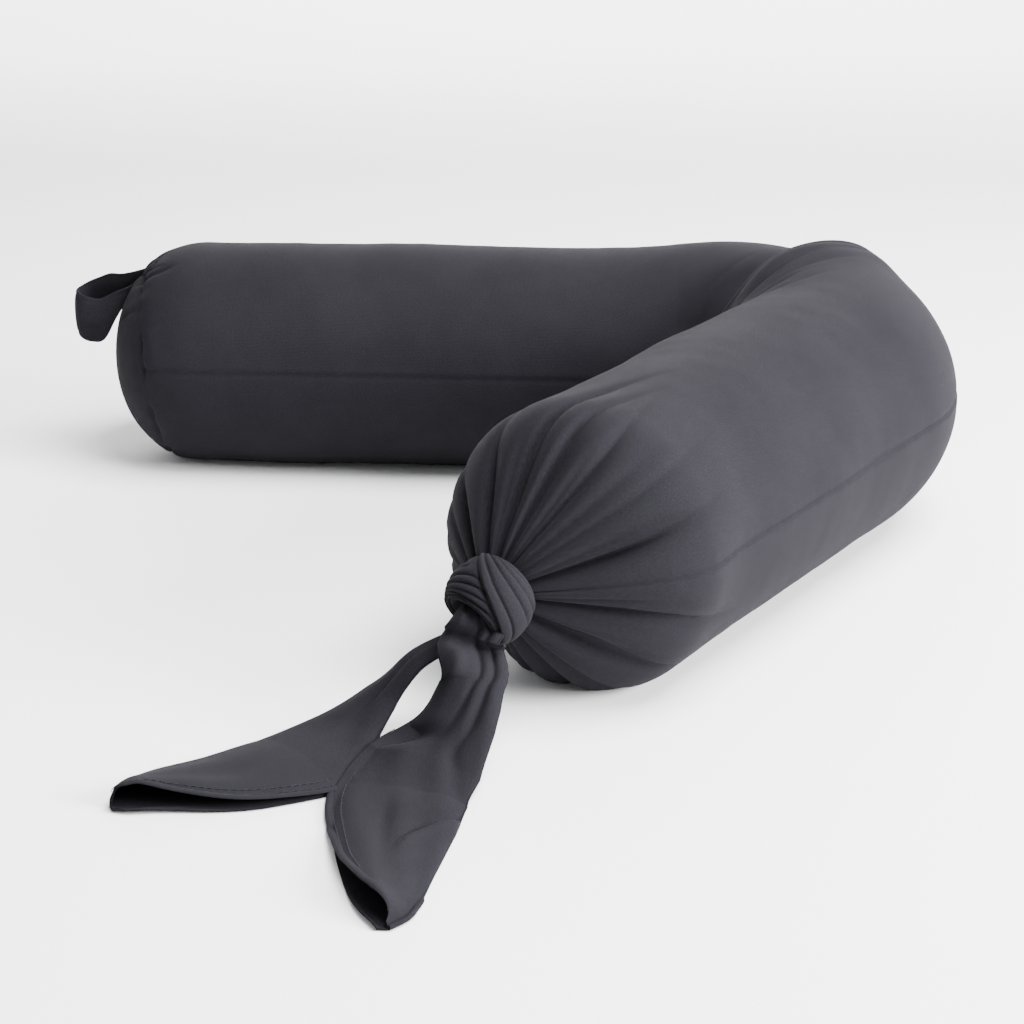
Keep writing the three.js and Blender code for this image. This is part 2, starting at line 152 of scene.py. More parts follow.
def grid_faces(ids, wrap, flip=False):
    right = np.roll(ids, -1, 1) if wrap else ids[:, 1:]
    left = ids if wrap else ids[:, :-1]
    quads = np.stack([left[:-1], left[1:], right[1:], right[:-1]], -1).reshape(-1, 4)
    return quads[:, ::-1] if flip else quads


def make_mesh(name, verts, faces, normals=None, uvs=None):
    """An object from points in millimetres. Corners that coincide in a face are left out of it."""
    faces = [list(dict.fromkeys(f)) for f in faces]
    faces = [f for f in faces if len(f) > 2]
    most = max(len(f) for f in faces)
    corners = verts[np.array([f + f[-1:] * (most - len(f)) for f in faces])]
    volume = sum((corners[:, 0] * np.cross(corners[:, k], corners[:, k + 1])).sum()
                 for k in range(1, most - 1))
    if volume < 0:
        faces = [f[::-1] for f in faces]
    used = np.unique(np.concatenate([np.array(f) for f in faces]))
    fresh = np.full(len(verts), -1)
    fresh[used] = np.arange(len(used))
    mesh = bpy.data.meshes.new(name)
    mesh.from_pydata((verts[used] * MM).tolist(), [], [fresh[f].tolist() for f in faces])
    mesh.validate()
    mesh.update()
    if uvs is not None:
        layer = mesh.uv_layers.new(name="cloth")
        corner = np.zeros(len(mesh.loops), np.int32)
        mesh.loops.foreach_get("vertex_index", corner)
        layer.data.foreach_set("uv", (uvs[used][corner] * MM).astype(np.float32).ravel())
    mesh.polygons.foreach_set("use_smooth", [True] * len(mesh.polygons))
    if normals is not None:
        mesh.normals_split_custom_set_from_vertices(normals[used].tolist())
    obj = bpy.data.objects.new(name, mesh)
    bpy.context.scene.collection.objects.link(obj)
    return obj


def shell(name, outer, inner, normals, uv, wrap=False, pole=False):
    """A closed shell between two grids. pole says that each grid's first row is one point."""
    rows, columns = outer.shape[:2]
    ids = np.arange(rows * columns).reshape(rows, columns)
    if pole:
        ids[0, :] = ids[0, 0]
    low = ids + rows * columns
    faces = [grid_faces(ids, wrap, True), grid_faces(low, wrap)]
    faces.append(grid_faces(np.stack([ids[-1], low[-1]]), wrap, True))
    if not pole:
        faces.append(grid_faces(np.stack([low[0], ids[0]]), wrap, True))
    if not wrap:
        faces.append(grid_faces(np.stack([ids[:, 0], low[:, 0]], 1), False))
        faces.append(grid_faces(np.stack([low[:, -1], ids[:, -1]], 1), False))
    faces = np.concatenate(faces)
    verts = np.concatenate([outer.reshape(-1, 3), inner.reshape(-1, 3)])
    both = np.concatenate([normals.reshape(-1, 3), -normals.reshape(-1, 3)])
    return make_mesh(name, verts, faces.tolist(), both, np.tile(uv.reshape(-1, 2), (2, 1)))


def solid(name, grid):
    """A closed body: a wrapped grid with its two ends filled."""
    rows, columns = grid.shape[:2]
    ids = np.arange(rows * columns).reshape(rows, columns)
    faces = grid_faces(ids, True, False).tolist()
    verts = [grid.reshape(-1, 3)]
    for row, flip in ((0, True), (rows - 1, False)):
        middle = rows * columns + len(verts) - 1
        verts.append(grid[row].mean(0)[None])
        for j in range(columns):
            k = (j + 1) % columns
            pair = (ids[row, k], ids[row, j]) if flip else (ids[row, j], ids[row, k])
            faces.append([middle, *pair])
    verts = np.concatenate(verts)
    length = np.linalg.norm(np.diff(grid.mean(1), axis=0), axis=1)
    girth = np.linalg.norm(np.diff(grid, axis=1), axis=2).sum(1).max()
    u = np.concatenate([[0], np.cumsum(length)])
    uv = np.stack(np.meshgrid(u, np.linspace(0, girth, columns), indexing="ij"), -1)
    uvs = np.concatenate([uv.reshape(-1, 2), uv[0, :1], uv[-1, :1]])
    return make_mesh(name, verts, faces, None, uvs)


# ------------------------------------------------------------------ the stuffed tube
def centreline(s):
    turn = np.clip(s / BEND_RADIUS, 0, BEND)
    straight = np.where(s < 0, s, np.maximum(0, s - BEND_LENGTH))
    x = BEND_RADIUS * (np.sin(turn) - math.sin(BEND / 2)) + straight * np.cos(turn)
    y = BEND_RADIUS * (np.cos(turn) - math.cos(BEND / 2)) - straight * np.sin(turn)
    return x, y, turn


def tube_radius(s):
    far = BEND_LENGTH + ELBOW_REACH
    back = BACK_RADIUS + (ELBOW_RADIUS - BACK_RADIUS) * smoothstep(s, -ELBOW_REACH, MID)
    bend = ELBOW_RADIUS + (FRONT_RADIUS - ELBOW_RADIUS) * smoothstep(s, MID, far)
    front = FRONT_RADIUS + (TIED_RADIUS - FRONT_RADIUS) * (s - far) / (TIP_FRONT - far)
    return np.where(s < MID, back, np.where(s < far, bend, front))


def cap_share(from_tip, cap):
    t = np.clip(1 - from_tip / cap, 0, 1)
    return (1 - t**CAP_POWER) ** (1 / CAP_POWER)


def end_seam(angle):
    low = (1 - np.sin(np.radians(angle))) / 2
    return TIP_BACK + END_SEAM_TOP + (END_SEAM_BOTTOM - END_SEAM_TOP) * low


def tube_point(s, angle, proud, depth=0.0):
    """A point of the tube: proud stands off its surface, depth is taken from its size."""
    x, y, turn = centreline(s)
    full = tube_radius(s)
    share = cap_share(s - TIP_BACK - depth, CLOSED_CAP - depth) * cap_share(
        TIP_FRONT - s - depth, TIED_CAP - depth)
    radius = np.maximum((full - depth) * share + proud, 0)
    a = np.radians(angle)
    height = full - BASE_SETTLE + radius * np.sin(a)
    rounding = 3.0
    height = 0.5 * (height - depth + np.sqrt((height - depth) ** 2 + rounding**2)) + depth - 0.35
    out = radius * np.cos(a)
    return np.stack([x + out * np.sin(turn), y + out * np.cos(turn), height], -1)


# ------------------------------------------------------------------ knot, neck and tails: places
tip_x, tip_y, tip_turn = (float(v) for v in centreline(np.float64(TIP_FRONT)))
UP = np.array([0, 0, 1.0])
AHEAD = np.array([math.cos(tip_turn), -math.sin(tip_turn), 0])
INWARD = np.array([-math.sin(tip_turn), -math.cos(tip_turn), 0])
TIP_POINT = np.array([tip_x, tip_y, TIED_RADIUS - BASE_SETTLE])
KNOT = TIP_POINT + KNOT_OFFSET[0] * AHEAD + KNOT_OFFSET[1] * INWARD + KNOT_OFFSET[2] * UP
yaw = -KNOT_YAW
level = np.array([AHEAD[0] * math.cos(yaw) - AHEAD[1] * math.sin(yaw),
                  AHEAD[0] * math.sin(yaw) + AHEAD[1] * math.cos(yaw), 0])
AXIS = unit(level * math.cos(KNOT_PITCH) - UP * math.sin(KNOT_PITCH))
ACROSS = unit(np.cross(UP, AXIS))
RISE = np.cross(AXIS, ACROSS)


mouth_share = NECK_MOUTH / TIED_RADIUS
MOUTH = TIP_FRONT - TIED_CAP * (1 - (1 - mouth_share**CAP_POWER) ** (1 / CAP_POWER))
SEEN_KNOT = KNOT + np.array([-2.5, 0, -4.0])
TIED_PULL = SEEN_KNOT - AXIS * 9 - np.array([*(float(v) for v in centreline(np.float64(MOUTH))), 0])[:3]
TIED_PULL[2] = SEEN_KNOT[2] + 4 - TIP_POINT[2]


def ring_frame(centre, axis, turn, wide, high):
    across = unit(np.cross(UP, axis))
    rise = np.cross(axis, across)
    return (centre + across * (wide * np.cos(turn))[..., None]
            + rise * (high * np.sin(turn))[..., None])


# ------------------------------------------------------------------ the cover's folds and seams
# Valleys of the crease across the elbow: where, how deep and how wide each is at a section angle.
CREASE_DEPTH = [(30, 0), (48, 4), (62, 10), (80, 16), (100, 20.5), (120, 23), (145, 21), (165, 14),
                (180, 10), (205, 7), (235, 3), (262, 0)]
SECOND_DEPTH = [(52, 0), (68, 2.8), (90, 5.0), (115, 6.5), (142, 5), (166, 0)]


def elbow_creases(s, angle):
    """(how far the surface stands proud, how far it is shifted along) at the elbow."""
    stretch = (BEND_RADIUS + 92 * np.cos(np.radians(angle))) / BEND_RADIUS
    d = (s - MID) * np.where(abs(s - MID) < MID, stretch, 1)
    d = np.where(s < 0, -MID * stretch + s, np.where(s > BEND_LENGTH, MID * stretch + s - 2 * MID, d))
    deep = table(angle, CREASE_DEPTH)
    side = np.where(d < 0, 25.0, 5.5)
    proud = -deep * (0.6 * np.exp(-np.abs(d) / side) + 0.4 * bump(d, side * 1.1))
    hump = table(angle, [(35, 0), (70, 1), (105, 1), (140, 0)])
    proud += 9.5 * hump * bump(d - 15, np.where(d < 15, 9, 27))
    proud -= 6.5 * bump(angle - 92, 48) * smoothstep(d, -115, -25) * (1 - smoothstep(d, -5, 3))
    drift = 15 + 6 * np.cos(np.radians(angle - 20))
    proud -= table(angle, SECOND_DEPTH) * fold(d - drift, 4.2)
    for place, middle, spread, amount in (
        (36, 112, 20, 2.6), (49, 98, 18, 1.6), (62, 118, 16, 1.6), (29, 72, 14, 1.4),
        (-38, 120, 18, 1.6), (-22, 150, 16, 2.4), (24, 150, 14, 2.6), (78, 104, 12, 0.9),
    ):
        bend = 0.22 * (angle - middle)
        proud -= amount * bump(angle - middle, spread) * fold(d - place - bend, 3.6)
    lean = -7.0 * table(angle, [(55, 0), (80, 0.6), (110, 1), (150, 0.8), (175, 0)])
    shift = lean * bump(d - 6.5, 4.5) / np.maximum(stretch, 0.2)
    second = -2.6 * table(angle, [(60, 0), (90, 0.8), (130, 1), (160, 0)])
    shift = shift + second * bump(d - drift - 4.0, 3.2) / np.maximum(stretch, 0.2)
    return proud, shift


def draw_gathers():
    """The pleats drawn in by the knot: angle, reach from the tip, depth, width and curl of each."""
    pleats = [
        (103, 175, 9, 4.5, -16), (87, 145, 7, 4, -12), (66, 120, 6, 5, 12), (43, 130, 3.2, 4, 9),
        (22, 95, 12, 6, 12), (-14, 120, 12, 6, -18), (-41, 95, 7, 5, -12), (127, 105, 6, 5, -10),
        (151, 85, 5, 5, 6), (203, 85, 6, 6, 6), (240, 95, 7, 6, 9), (276, 95, 7, 6, -7),
    ]
    draw = np.random.default_rng(11)
    for k in range(22):
        angle = (k + draw.uniform(-0.45, 0.45)) * 360 / 22
        pleats.append((angle, draw.uniform(34, 84), draw.uniform(3.0, 6.0), draw.uniform(4, 8),
                       draw.uniform(-25, 25)))
    return pleats


GATHERS = draw_gathers()


def gathered(s, angle):
    from_tip = TIP_FRONT - s
    near = from_tip < 200
    proud = np.zeros(s.shape)
    e, a = from_tip[near], angle[near]
    radius = np.maximum(tube_radius(s[near]) * cap_share(e, TIED_CAP), 15)
    total = 3.6 * (1 - smoothstep(e, 15, 120))
    for place, reach, deep, width, curl in GATHERS:
        turn = (a - place - curl * (e / 130) ** 1.5 + 180) % 360 - 180
        arc = np.radians(turn) * radius
        arc = np.where(arc > 0, arc * 1.7, arc * 0.75)
        fade = (1 - smoothstep(e, 0.08 * reach, reach)) ** 1.35
        total -= deep * fade * fold(arc, width * (0.28 + 0.72 * radius / TIED_RADIUS)) * (
            0.45 + 0.55 * smoothstep(radius, 12, 60))
    proud[near] = np.maximum(total, -6.0 - 7.0 * (1 - smoothstep(e, 60, 190)))
    return proud


def sewn(s, angle):
    """Grooves and puckers along the side seams and the end panel's seam."""
    a = np.radians(angle)
    radius = tube_radius(s)
    proud = np.zeros(s.shape)
    for seam, seed in ((OUTER_SEAM, 3), (INNER_SEAM, 4)):
        arc = np.radians((angle - seam + 180) % 360 - 180) * radius
        sewn_here = smoothstep(s, end_seam(angle) - 3, end_seam(angle) + 3)
        proud -= 1.15 * sewn_here * fold(arc, 1.0)
        proud += 0.35 * sewn_here * bump(arc + 3.5, 3)
        proud -= 0.1 * bump(arc, 8) * waves(s, 0 * a, seed + 10, 4, (7, 16), (0, 1))
    across = s - end_seam(angle)
    tight = np.clip(1 + 0.6 * waves(0 * s, a, 21, 6, (50, 60), (4, 19)), 0.25, 2)
    proud -= 1.5 * tight * fold(across, 1.3)
    ripple = waves(across * 0.3, a, 22, 6, (90, 200), (14, 34))
    proud -= 0.8 * np.exp(-np.abs(across) / 6) * ripple
    proud += 0.7 * bump(across - 9, 7) * tight + 0.5 * bump(across + 8, 7)
    return proud


def root_tuck(s, angle):
    """The little folds that the carry loop's stitching pulls into the cover."""
    across = s - end_seam(LOOP_ANGLE)
    arc = np.radians(angle - LOOP_ANGLE) * tube_radius(s)
    pull = -2.2 * bump(np.hypot(across - 3, arc), 10)
    pull -= 3.6 * fold(arc - 26 + 0.12 * across, 2.4) * smoothstep(across, -6, 3) * (
        1 - smoothstep(across, 12, 34))
    pull -= 1.6 * fold(arc - 9 - 0.45 * across, 2.2) * bump(across - 9, 9)
    pull -= 1.6 * fold(arc + 10 + 0.4 * across, 2.2) * bump(across - 11, 10)
    pull -= 1.5 * fold(arc - 62 - 0.2 * across, 2.5) * bump(across + 9, 9)
    return pull


def cover_surface(s, angle):
    """(points, outward normals) of the cover: its rounded shape first, then its folds and seams."""
    a = np.radians(angle)
    proud, shift = elbow_creases(s, angle)
    share = cap_share(TIP_FRONT - s, TIED_CAP)
    pull = (1 - smoothstep(share, 0.1, 1.0)) ** 1.3
    proud -= 0.36 * pull**2 * TIED_RADIUS * share
    smooth = tube_point(s + shift, angle, proud) + pull[..., None] * TIED_PULL
    normals = grid_normals(smooth, True)
    normals[0] = (-1, 0, 0)
    soft = smoothstep(s - TIP_BACK, 15, 120) * smoothstep(TIP_FRONT - s, 30, 120)
    relief = gathered(s, angle) + sewn(s, angle) + root_tuck(s, angle)
    relief += 0.7 * soft * waves(s, a, 5, 7, (90, 260), (1, 5))
    relief += 0.08 * soft * waves(s, a, 6, 8, (24, 60), (3, 11))
    relief *= smoothstep(s - TIP_BACK, -1, 10)
    points = smooth + normals * relief[..., None]
    points[..., 2] = np.maximum(points[..., 2], 0.05)
    normals = grid_normals(points, True)
    normals[0] = (-1, 0, 0)
    return points, normals


def spaced(start, end, count, crowd=0.0, power=1.6):
    """Places from start to end, crowded towards the end by the share crowd."""
    t = np.linspace(0, 1, count + 1)
    return start + (end - start) * ((1 - crowd) * t + crowd * (1 - (1 - t) ** power))


def cut_at(values, seams):
    """The columns' angles, with the two side seams among them."""
    values = values.copy()
    for seam in seams:
        values[np.argmin(np.abs(values - seam))] = seam
    return values


# Columns run from the outer side seam once round, finer on top where the folds are.
UPPER = cut_at(np.linspace(OUTER_SEAM, INNER_SEAM, 151), ())
LOWER = np.linspace(INNER_SEAM, 360 + OUTER_SEAM, 111)
ANGLES = np.concatenate([UPPER[:-1], LOWER[:-1]])
INNER_COLUMN = len(UPPER) - 1

SEAM_EDGE = TIP_BACK + 60.0
cap_turn = np.linspace(0, math.pi / 2, 46)[1:]
CAP_END = TIP_FRONT - TIED_CAP + TIED_CAP * np.sin(cap_turn)
CAP_END = np.append(CAP_END[CAP_END < MOUTH - 0.6], MOUTH)

panel_t = np.linspace(0, 1, 41)[:, None] ** 1.6
PANEL_ROWS = TIP_BACK + panel_t * (end_seam(ANGLES)[None] - TIP_BACK)
band_t = np.linspace(0, 1, 19)[1:, None]
BAND_ROWS = end_seam(ANGLES)[None] + band_t * (SEAM_EDGE - end_seam(ANGLES)[None])
straight_rows = np.concatenate([
    spaced(SEAM_EDGE, -ELBOW_REACH, 110)[1:],
    spaced(-ELBOW_REACH, MID, 90, 0.65)[1:],
    spaced(BEND_LENGTH + ELBOW_REACH, MID, 104, 0.65)[::-1][1:],
    spaced(BEND_LENGTH + ELBOW_REACH, TIP_FRONT - TIED_CAP, 116)[1:],
    CAP_END,
])
S = np.vstack([PANEL_ROWS, BAND_ROWS, np.repeat(straight_rows[:, None], len(ANGLES), 1)])
A = np.repeat(ANGLES[None], len(S), 0)
SEAM_ROW = len(PANEL_ROWS) - 1
MID_ROW = int(np.argmin(np.abs(S[:, 0] - MID)))

COVER, COVER_NORMALS = cover_surface(S, A)
COVER_UV = np.stack([S, np.radians(A) * TIED_RADIUS], -1)
COVER_THICKNESS = 1.6


def cover_panel(name, rows, columns, **kinds):
    outer = COVER[rows][:, columns]
    normals = COVER_NORMALS[rows][:, columns]
    uv = COVER_UV[rows][:, columns]
    return shell(name, outer, outer - normals * COVER_THICKNESS, normals, uv, **kinds)


UPPER_COLUMNS = np.arange(0, INNER_COLUMN + 1)
LOWER_COLUMNS = np.append(np.arange(INNER_COLUMN, len(ANGLES)), 0)
BACK_ROWS = np.arange(SEAM_ROW, MID_ROW + 1)
FRONT_ROWS = np.arange(MID_ROW, len(S))
pieces = {}
for half, rows in (("back", BACK_ROWS), ("front", FRONT_ROWS)):
    for side, columns in (("upper", UPPER_COLUMNS), ("lower", LOWER_COLUMNS)):
        name = f"cover_{side}_{half}_cloth"
        pieces[name] = cover_panel(name, rows, columns)
        nodes = [f"cover_{side}_{half}"] + ([f"cover_{side}_elbow"] if half == "back" else [])
        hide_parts(*nodes)
end_panel = cover_panel("cover_end_panel_cloth", np.arange(SEAM_ROW + 1),
                        np.arange(len(ANGLES)), wrap=True, pole=True)
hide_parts("cover_end_panel")

# ------------------------------------------------------------------ casing and filling
INNER_ANGLES = np.linspace(0, 360, 73)[:-1]


def inner_grid(places, depth):
    s, angle = np.meshgrid(places, INNER_ANGLES, indexing="ij")
    d = (s - MID) * (BEND_RADIUS + 80 * np.cos(np.radians(angle))) / BEND_RADIUS
    proud = -table(angle, CREASE_DEPTH) * bump(d, 34) - 9.0 * (1 - smoothstep(TIP_FRONT - s, 60, 190))
    proud += 0.8 * waves(s, np.radians(angle), 31, 6, (40, 110), (2, 9))
    proud *= smoothstep(s - TIP_BACK, depth, depth + 30) * smoothstep(TIP_FRONT - s, depth, depth + 30)
    return tube_point(s, angle, proud, depth)


def inner_piece(name, places, depth, thick, nodes):
    outer = inner_grid(places, depth)
    if thick:
        normals = grid_normals(outer, True)
        s, angle = np.meshgrid(places, INNER_ANGLES, indexing="ij")
        uv = np.stack([s, np.radians(angle) * 80], -1)
        obj = shell(name, outer, outer - normals * thick, normals, uv, wrap=True)
    else:
        obj = solid(name, outer)
    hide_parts(*nodes)
    return obj


def halves(depth):
    back = np.concatenate([TIP_BACK + depth + 60 * np.linspace(0.02, 1, 14) ** 1.6,
                           spaced(TIP_BACK + depth + 60, MID, 96, 0.3)[1:]])
    front = np.concatenate([spaced(TIP_FRONT - depth - 60, MID, 84, 0.3)[::-1],
                            TIP_FRONT - depth - 60 * np.linspace(1, 0.02, 14)[1:] ** 1.6])
    return {"back": back, "front": front}


for half, places in halves(8.0).items():
    extra = ["casing_elbow"] if half == "back" else []
    pieces[f"casing_{half}_cloth"] = inner_piece(
        f"casing_{half}_cloth", places, 8.0, 1.2, [f"casing_{half}", f"casing_end_{half}", *extra])
for half, places in halves(11.0).items():
    extra = ["filling_elbow"] if half == "back" else []
    pieces[f"filling_{half}_fibre"] = inner_piece(
        f"filling_{half}_fibre", places, 11.0, 0, [f"filling_{half}", *extra])

def build_neck():
    """The bunched cloth goes on from the cover's mouth, pleat for pleat, through the knot."""
    mouth = COVER[-1]
    middle = mouth.mean(0)
    away = mouth - middle
    radius = np.linalg.norm(away, axis=1, keepdims=True)
    pleat = np.clip(radius / radius.mean(), 0.75, 1.25)
    turn = np.radians(ANGLES)
    # The tube's section angles turn the other way from the knot's across and rise directions.
    stations = [(SEEN_KNOT - AXIS * 4, 9.5, 9), (SEEN_KNOT + AXIS * 6, 9.5, 9),
                (SEEN_KNOT + AXIS * 9, 8, 7.5), (SEEN_KNOT + AXIS * 12.5, 6.5, 6.5)]
    grid = [middle + away * 0.9 - AXIS * 4, middle + away * 0.95 + AXIS * 0.5]
    for centre, wide, high in stations:
        ring = ring_frame(centre, AXIS, math.pi - turn, wide, high)
        grid.append(centre + (ring - centre) * (0.55 + 0.45 * pleat**2))
    rows = spline([ring.ravel() for ring in grid], 56)
    return solid("gathered_neck_cloth", rows.reshape(len(rows), len(ANGLES), 3))


build_neck_object = build_neck()
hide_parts("gathered_neck")


# ------------------------------------------------------------------ knot
def wrapped(x):
    return (x + 180) % 360 - 180


def knot_point(turn, section, lift):
    """Round the ring by turn (0 right, 90 up), round its section by section (0 out, 90 ahead)."""
    t, a = np.radians(turn), np.radians(section)
    inner = 9.0 + 3.0 * smoothstep(section, 60, 120)
    half = (KNOT_RADIUS - inner) / 2
    plump = 1 + 0.08 * np.sin(t + 0.6)
    reach = inner + half + (half + lift) * np.sign(np.cos(a)) * np.abs(np.cos(a)) ** 0.9
    depth = (KNOT_HALF_DEPTH * plump + lift) * np.sign(np.sin(a)) * np.abs(np.sin(a)) ** 0.95
    tip = 2.0 * np.cos(t)
    return (SEEN_KNOT + AXIS * (depth + tip)[..., None] + ACROSS * (reach * np.cos(t))[..., None]
            + RISE * (reach * np.sin(t) * KNOT_FLATTEN)[..., None])


def build_knot():
    turn, section = np.meshgrid(np.linspace(0, 360, 361)[:-1], np.linspace(-180, 180, 241)[:-1],
                                indexing="ij")
    size = math.radians(1) * 13
    # The outer wrap's edge, from behind the top over to the front at the lower right.
    side = wrapped(turn - 20)
    edge = curve(side, [(-180, 40), (-120, 84), (-70, 74), (-20, 62), (15, 46), (45, 22), (72, -14),
                        (95, -60), (120, -150), (180, -200)])
    over = smoothstep(edge - section, 0, 7)
    lift = 1.9 * over - 1.9 * fold((section - edge - 2) * size, 0.8)
    for offset, deep, start in ((30, 1.7, -100), (62, 2.0, -70), (84, 1.3, -110), (108, 1.4, -50)):
        drift = offset * (1 - 0.3 * np.sin(np.radians(side)))
        drawn = smoothstep(side, start, start + 60)
        lift -= over * drawn * deep * fold((section - edge + drift) * size, 0.75)
    for place, deep, start, end in (
        (14, 2.0, 60, 215), (31, 2.4, 40, 225), (48, 1.8, 30, 235), (65, 2.4, 10, 250),
        (84, 2.0, -20, 250), (103, 1.6, 0, 260), (-6, 2.2, 100, 215), (-26, 2.0, 110, 225),
        (-48, 1.6, 120, 240), (-70, 1.6, 130, 250),
    ):
        middle, reach = (start + end) / 2, (end - start) / 2
        along = wrapped(turn - middle)
        alive = 1 - smoothstep(np.abs(along), reach * 0.72, reach)
        wander = 5 * np.sin(np.radians(2 * along + place * 3))
        lift -= (1 - over) * deep * alive * fold((section - place - wander) * size, 0.9)
    hollow = bump(wrapped(turn + 100), 38) * bump(section - 95, 45)
    lift -= 2.5 * hollow
    grid = knot_point(turn, section, lift)
    ids = np.arange(grid.shape[0] * grid.shape[1]).reshape(grid.shape[:2])
    closed = np.vstack([ids, ids[:1]])
    uv = np.stack([np.radians(turn) * 24, np.radians(section) * 14], -1)
    faces = grid_faces(closed, True, True)
    return make_mesh("knot_ring_cloth", grid.reshape(-1, 3), faces.tolist(), None, uv.reshape(-1, 2))


knot = build_knot()
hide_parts("knot_ring")


# ------------------------------------------------------------------ tails
def tail_path(points, roots, count):
    """A tail's centreline with its right and rise directions, from the knot's hollow to its tip."""
    rows = [SEEN_KNOT + AXIS * ahead + ACROSS * right - RISE * down for ahead, right, down in roots]
    low = (KNOT + AXIS * (NECK_PAST_KNOT + 0.3) - RISE * TAIL_ROOT[1] / 2)[2]
    for forward, inward, share, _ in points:
        place = KNOT + AHEAD * forward + INWARD * inward
        rows.append([place[0], place[1], low * share])
    first = 1 / len(points)
    t = np.linspace(0, 1, count)
    at = np.where(t < first, t / first * len(roots), len(roots) + (t - first) * len(points))
    centre = spline(rows, np.minimum(at, len(rows) - 1))
    centre[:, 2] = np.maximum(centre[:, 2], 0.3)
    ahead = unit(np.gradient(centre, axis=0))
    right = unit(np.cross(ahead, UP))
    rise = np.cross(right, ahead)
    return centre, right, rise


TAIL_ROWS, TAIL_LOWER, TAIL_UPPER = 150, 49, 65
TAIL_CLOTH = 1.1


def build_tail(name, points, hem_side, style):
    """A flattened sleeve of cloth, open along its hem side where the style's lip says. Gives the
    piece, its outer points and their normals."""
    count = TAIL_ROWS
    centre, right, rise = tail_path(points, style["roots"], count)
    t = np.linspace(0, 1, count)
    near, far = curve(t, style["near"])[:, None], curve(t, style["far"])[:, None]
    reach = curve(t, style["reach"])[:, None]
    lip = curve(t, style["lip"])[:, None]
    puff = curve(t, style["puff"])[:, None]
    lower = np.cos(np.linspace(0, math.pi, TAIL_LOWER))[None] * np.ones((count, 1))
    upper_turn = np.linspace(0, math.pi, TAIL_UPPER)[None] * np.ones((count, 1))
    upper_t = (1 - np.cos(upper_turn)) / 2
    upper = -1 + (reach + 1) * upper_t[:, 1:]
    x = np.hstack([lower, upper])
    layer = np.hstack([np.zeros_like(lower), np.ones_like(upper)])
    tt = np.repeat(t[:, None], x.shape[1], 1)
    gap = (puff * np.sqrt(np.clip(1 - x**2, 0, 1))
           + lip * smoothstep((x + 1) / (reach + 1.0001), 0.0, 1.0))
    z = layer * gap + 0.4
    z += layer * style["shape"](tt, x) + (1 - layer) * style["under"](tt, x)
    z = np.maximum(z, 0.25 + layer * 0.9)
    wide = x * (near + far) / 2 + (near - far) / 2
    p = (centre[:, None] + right[:, None] * (hem_side * wide)[..., None]
         + rise[:, None] * z[..., None])
    p[..., 2] = np.maximum(p[..., 2], 0.3)
    normals = grid_normals(p, False) * hem_side
    girth = np.concatenate([np.zeros((count, 1)),
                            np.cumsum(np.linalg.norm(np.diff(p, axis=1), axis=2), 1)], 1)
    length = np.concatenate([[0], np.cumsum(np.linalg.norm(np.diff(centre, axis=0), axis=1))])
    uv = np.stack([np.repeat(length[:, None], x.shape[1], 1), girth], -1)
    q = p - normals * TAIL_CLOTH
    q[..., 2] = np.maximum(q[..., 2], 0.15)
    obj = tail_shell(name, p, q, normals, uv, hem_side)
    return obj, p, normals


def tail_shell(name, outer, inner, normals, uv, hem_side):
    if hem_side < 0:
        outer, inner, normals, uv = (g[:, ::-1] for g in (outer, inner, normals, uv))
    return shell(name, outer, inner, normals, uv)


def front_shape(t, x):
    z = -3.5 * fold((x + 0.15 - 0.9 * (t - 0.1)) * 22, 2.4) * (1 - smoothstep(t, 0.2, 0.36))
    z -= 3.6 * fold((x + 0.62 - 0.6 * t) * 22, 2.4) * (1 - smoothstep(t, 0.22, 0.40))
    z += 4.5 * bump(x - 0.62, 0.35) * bump(t - 0.11, 0.035)
    z -= 4.5 * bump(x - 0.15, 0.5) * bump(t - 0.075 - 0.012 * x, 0.012)
    z += 2.5 * (bump(x - 0.5, 0.22) + bump(x + 0.15, 0.22)) * bump(t - 0.05, 0.014)
    z -= 6.5 * bump(x - 0.75, 0.55) * bump(t - 0.30 - 0.03 * x, 0.028)
    z += 2.5 * bump(x - 0.5, 0.5) * bump(t - 0.40, 0.06)
    z -= 1.8 * bump(x - 0.15, 0.16) * bump(t - 0.60, 0.1)
    z -= 1.8 * bump(x + 0.5 + 3.0 * (t - 0.36), 0.16) * bump(t - 0.36, 0.08)
    crease = t - 0.665 - 0.16 * (x + 0.3) - 0.05 * (x + 0.3) ** 2
    across = smoothstep(-x, 0.05, 0.4)
    z += 3.2 * across * (bump(crease - 0.022, 0.022) - 0.9 * fold(crease / 0.008, 1.0))
    return z + 0.5 * np.sin(9 * x + 14 * t) * bump(t - 0.5, 0.4)


def front_under(t, x):
    return (2.0 * smoothstep(np.abs(x), 0.75, 1.0) * smoothstep(t, 0.8, 0.95)
            + 4.0 * smoothstep(x, 0.4, 1.0) * bump(t - 0.42, 0.09))


def left_shape(t, x):
    z = -1.8 * fold((x - 0.1 + 0.7 * (t - 0.3)) * 26, 2.6) * bump(t - 0.26, 0.1)
    z += 2.4 * bump(x + 0.4, 0.35) * bump(t - 0.33, 0.07)
    z -= 3.0 * smoothstep(x, 0.2, 1.0) * bump(t - 0.46, 0.09)
    z += 1.6 * bump(x + 0.2 - 1.2 * (t - 0.55), 0.3) * bump(t - 0.55, 0.12)
    z -= 1.2 * bump(x - 0.2, 0.3) * bump(t - 0.64, 0.06)
    return z + 0.4 * np.sin(8 * x - 12 * t) * bump(t - 0.5, 0.4)


def left_under(t, x):
    return 2.0 * smoothstep(x, 0.7, 1.0) * smoothstep(t, 0.62, 0.85)


